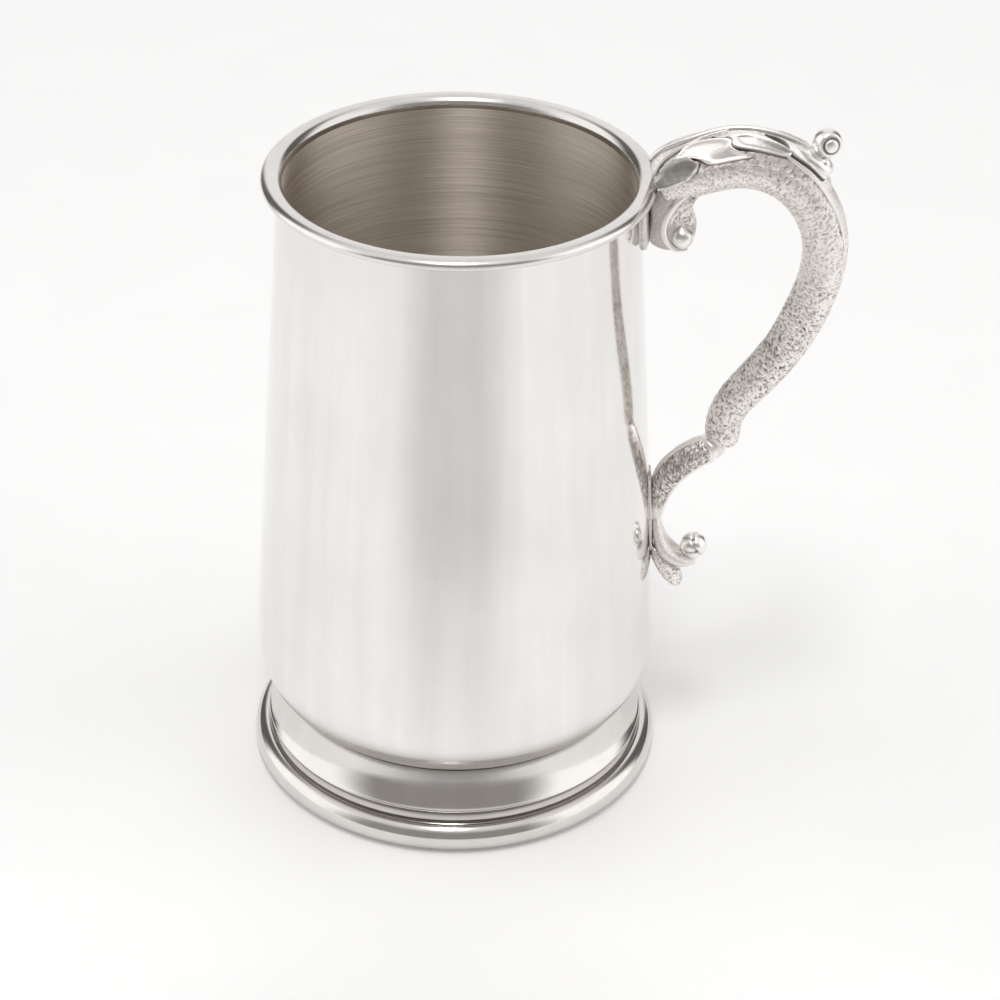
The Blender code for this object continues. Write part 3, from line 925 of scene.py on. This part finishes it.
def build_leaves(bar):
    """Four leaves on either side of the stem; the middle ones are satin."""
    plan = {
        "low": ([(0.2, 52.0), (1.4, 42.0), (3.6, 32.0), (6.2, 30.0), (8.3, 37.0), (9.8, 48.0)],
                [(0.2, 84.0), (2.6, 88.0), (5.0, 86.0), (7.2, 79.0), (8.8, 66.0),
                 (9.9, 49.0)]),
        "mid": ([(4.2, 31.0), (6.6, 19.0), (10.1, 11.0), (13.4, 13.0), (16.0, 27.0),
                 (19.0, 50.0)],
                [(4.4, 33.0), (7.7, 38.0), (10.5, 53.0), (13.4, 60.5), (16.4, 58.0),
                 (19.1, 51.0)]),
        "top": ([(12.7, 9.0), (15.7, 14.0), (18.9, 11.0), (21.5, 14.0), (24.3, 26.0)],
                [(12.9, 11.0), (15.5, 25.0), (18.3, 40.0), (21.3, 41.0), (24.4, 28.0)]),
        "thumb": ([(20.2, 7.0), (23.2, 9.0), (26.1, 11.0), (28.8, 16.0), (31.2, 24.0)],
                  [(20.4, 9.0), (23.2, 25.0), (25.9, 34.0), (28.6, 35.0), (31.3, 26.0)]),
    }
    # Tone of each leaf, partly tarnish and partly painted light: the mid leaves are painted
    # lighter, as if facing the lamps, and the others darker, as if in shade.
    tarnish_and_shade = {"low": 0.42, "mid": -0.1, "top": 0.35, "thumb": 0.3}
    for key, (upper, lower) in plan.items():
        look = "cast_pewter_look" if key == "mid" else "leaf_pewter_look"
        for side, label in TURN_SIDES:
            nodes = () if key == "thumb" else (f"leaf_{key}_{label}",)
            leaf(f"leaf_{key}_sprig_{label}", bar, upper, lower, side, nodes,
                 tarnish_and_shade[key], look)


def build_stems(bar):
    """Stem along the ridge and a tendril down each side to the outer edge."""
    run = np.linspace(0.4, 27.5, 140)
    sway = np.radians(3.0) * np.sin(run / 3.4)
    ridge = bar.surface(run, sway, CREST * smoothstep(-4.0, 4.0, run) - 0.35)
    stem = tube_along("stem", ridge, tapered(0.75, 0.12, 0.8, 0.5))
    dress(stem, "leaf_pewter_look", "leaf_pewter", "ridge_vine")
    paths = {
        "root": [(0.3, 44.0), (2.6, 27.0), (5.4, 19.0), (8.6, 13.0), (12.0, 8.0), (15.4, 5.0)],
        "outer": [(23.6, 33.0), (25.2, 38.0), (27.0, 41.0), (29.6, 42.5), (33.0, 42.0),
                  (37.0, 41.5), (41.0, 40.0), (44.5, 37.0)],
    }
    for key, knots in paths.items():
        line = spline(knots, 110)
        for side, label in TURN_SIDES:
            turn = np.radians(line[:, 1]) * side
            lift = crest_lift(line[:, 0], turn) + 0.12
            points = bar.surface(line[:, 0], turn, lift)
            wire = tube_along(f"tendril_{key}_{label}", points,
                              tapered(0.42, 0.08, 0.86, 0.6))
            dress(wire, "leaf_pewter_look", "leaf_pewter")


def build_thumb_leaf():
    """Cupped leaf that lifts off the grip and carries the ball."""
    bar = Bar(THUMB_LEAF, LEAF_WIDE, samples=300)

    def cupped(dist, turn):
        side = np.sin(turn) ** 2
        fade = smoothstep(0.0, 4.0, dist)
        return fade * (-0.45 * side * np.clip(np.cos(turn), 0, 1) + 0.2 * side)

    def worn(dist, turn, _):
        return 0.3 - 0.7 * np.clip(np.cos(turn), 0, 1) * np.abs(np.sin(turn))

    curl = sweep("thumb_leaf_curl", bar, 100, 64, (0.6, 0.8), lift=cupped, wear_and_shade=worn)
    dress(curl, "leaf_pewter_look", "leaf_pewter", "thumb_leaf")


# ---------------------------------------------------------------- stage

def build_floor():
    """Pale floor with a painted shadow: a darker sector in front of the cup, out of the
    picture.

    The polished front of the cup reflects that painted shadow as a soft darker band.
    """
    mesh = bpy.data.meshes.new("studio_floor")
    half = FLOOR_HALF_M
    mesh.from_pydata([(-half, -half, 0.0), (half, -half, 0.0), (half, half, 0.0),
                      (-half, half, 0.0)], [], [(0, 1, 2, 3)])
    floor = bpy.data.objects.new("studio_floor", mesh)
    bpy.context.scene.collection.objects.link(floor)
    mat = bpy.data.materials.new("pale_floor")
    mat.use_nodes = True
    n = Nodes(mat.node_tree)
    shader = n.add("ShaderNodeBsdfPrincipled", {"Roughness": 0.6, "Emission Strength": 0.13})
    shader.inputs["Specular IOR Level"].default_value = 0.2
    shader.inputs["Emission Color"].default_value = (1.0, 1.0, 1.0, 1.0)
    output = n.add("ShaderNodeOutputMaterial")
    n.tree.links.new(shader.outputs["BSDF"], output.inputs["Surface"])
    place = n.add("ShaderNodeTexCoord").outputs["Object"]
    grain = n.span(n.noise(place, 40.0), 0.3, 0.7, 0.0, 0.015)
    parts = n.add("ShaderNodeSeparateXYZ", {"Vector": place}).outputs
    across = n.maths("SUBTRACT", parts["X"], AXIS_X_M)
    ahead = n.maths("MULTIPLY", parts["Y"], -1.0)
    bearing = n.maths("SUBTRACT", n.maths("ARCTAN2", across, ahead), CAMERA_BEARING)
    aside = n.maths("ABSOLUTE", bearing, 0.0)
    # Painted shadow: the floor darkens in a sector ahead of the cup, towards the camera.
    sector = n.fade(aside, math.radians(12), math.radians(40), 1.0, 0.0)
    painted_shadow = n.maths("MULTIPLY", sector, n.fade(ahead, 0.06, 0.22))
    tone = n.maths("SUBTRACT", n.maths("ADD", grain, 0.895), n.maths("MULTIPLY", painted_shadow, 0.3))
    join(n, n.ramp(tone, 0.0, 1.0, [(0.0, (0.0, 0.0, 0.0)), (1.0, (1.0, 1.0, 1.0))]),
         shader, "Base Color")
    floor.data.materials.append(mat)


def build_world():
    """White sweep behind, soft boxes left and right, dim room towards the camera."""
    world = bpy.data.worlds.new("studio")
    bpy.context.scene.world = world
    world.use_nodes = True
    n = Nodes(world.node_tree)
    way = n.add("ShaderNodeTexCoord").outputs["Generated"]
    parts = n.add("ShaderNodeSeparateXYZ", {"Vector": way}).outputs
    radians = n.maths("ABSOLUTE", n.maths("ARCTAN2", parts["X"], parts["Y"]), 0.0)
    aside = n.maths("MULTIPLY", radians, 180 / math.pi)     # 0 behind, 180 at the camera
    back_light, side_light, front_light, room_light, top_light = 0.8, 1.15, 0.2, 0.12, 0.8
    back = n.fade(aside, 22.0, 34.0, back_light, 0.0)
    side = n.maths("MULTIPLY", n.fade(aside, 55.0, 70.0),
                   n.fade(aside, 108.0, 142.0, side_light, 0.0))
    front = n.maths("MULTIPLY", n.fade(aside, 120.0, 145.0), front_light)
    ring = n.maths("ADD", n.maths("ADD", back, side), n.maths("ADD", front, room_light))
    top = n.fade(parts["Z"], 0.6, 0.9)
    level = n.maths("ADD", n.maths("MULTIPLY", ring, n.maths("SUBTRACT", 1.0, top)),
                    n.maths("MULTIPLY", top, top_light))
    brightest = 1.5
    colour = n.ramp(level, 0.0, brightest, [(0.0, (0.0, 0.0, 0.0)),
                                            (0.22, (0.34, 0.326, 0.316)),
                                            (1.0, (brightest, brightest, brightest))])
    glow = n.add("ShaderNodeBackground", {"Color": colour, "Strength": 1.0})
    output = n.add("ShaderNodeOutputWorld")
    n.tree.links.new(glow.outputs["Background"], output.inputs["Surface"])


def build_light():
    """Small lamp above and in front, which draws the bright stripe inside the cup."""
    data = bpy.data.lights.new("overhead", "AREA")
    data.shape = "RECTANGLE"
    data.size = 0.2
    data.size_y = 0.4
    data.energy = 4.4
    lamp = bpy.data.objects.new("overhead", data)
    lamp.location = (-0.03, -0.45, 1.3)
    aim = Vector((AXIS_X_M, 0.0, 0.08))
    lamp.rotation_euler = (aim - lamp.location).to_track_quat("-Z", "Y").to_euler()
    bpy.context.scene.collection.objects.link(lamp)


def build_camera():
    """Long lens, 32 degrees above the cup, looking a little round to the handle."""
    data = bpy.data.cameras.new("camera")
    data.lens = CAMERA_LENS
    data.sensor_width = 36.0
    data.clip_start = 0.01
    data.clip_end = 50.0
    camera = bpy.data.objects.new("camera", data)
    across = Vector((math.cos(CAMERA_BEARING), math.sin(CAMERA_BEARING), 0.0))
    front = Vector((math.sin(CAMERA_BEARING), -math.cos(CAMERA_BEARING), 0.0))
    axis = Vector((AXIS_X_M, 0.0, 0.0))
    place = axis + front * CAMERA_AWAY_M + Vector((0.0, 0.0, CAMERA_HEIGHT_M))
    aim = axis + across * AIM_ASIDE_M + Vector((0.0, 0.0, AIM_HEIGHT_M))
    look = (aim - place).to_track_quat("-Z", "Y").to_matrix()
    tilt = Matrix.Rotation(CAMERA_ROLL, 3, "Z")
    camera.matrix_world = Matrix.Translation(place) @ (look @ tilt).to_4x4()
    bpy.context.scene.collection.objects.link(camera)
    bpy.context.scene.camera = camera


def main():
    build_materials()
    build_cup()
    build_rim()
    build_collar()
    build_base()
    grip_bar = Bar(GRIP, GRIP_WIDE)
    build_grip(grip_bar)
    build_lower_scroll()
    build_upper_scroll()
    build_pads()
    build_foot_leaf()
    build_balls()
    build_crest(grip_bar)
    build_leaves(grip_bar)
    build_stems(grip_bar)
    build_thumb_leaf()
    build_floor()
    build_world()
    build_light()
    build_camera()
    bpy.context.scene.view_settings.view_transform = "Standard"


main()
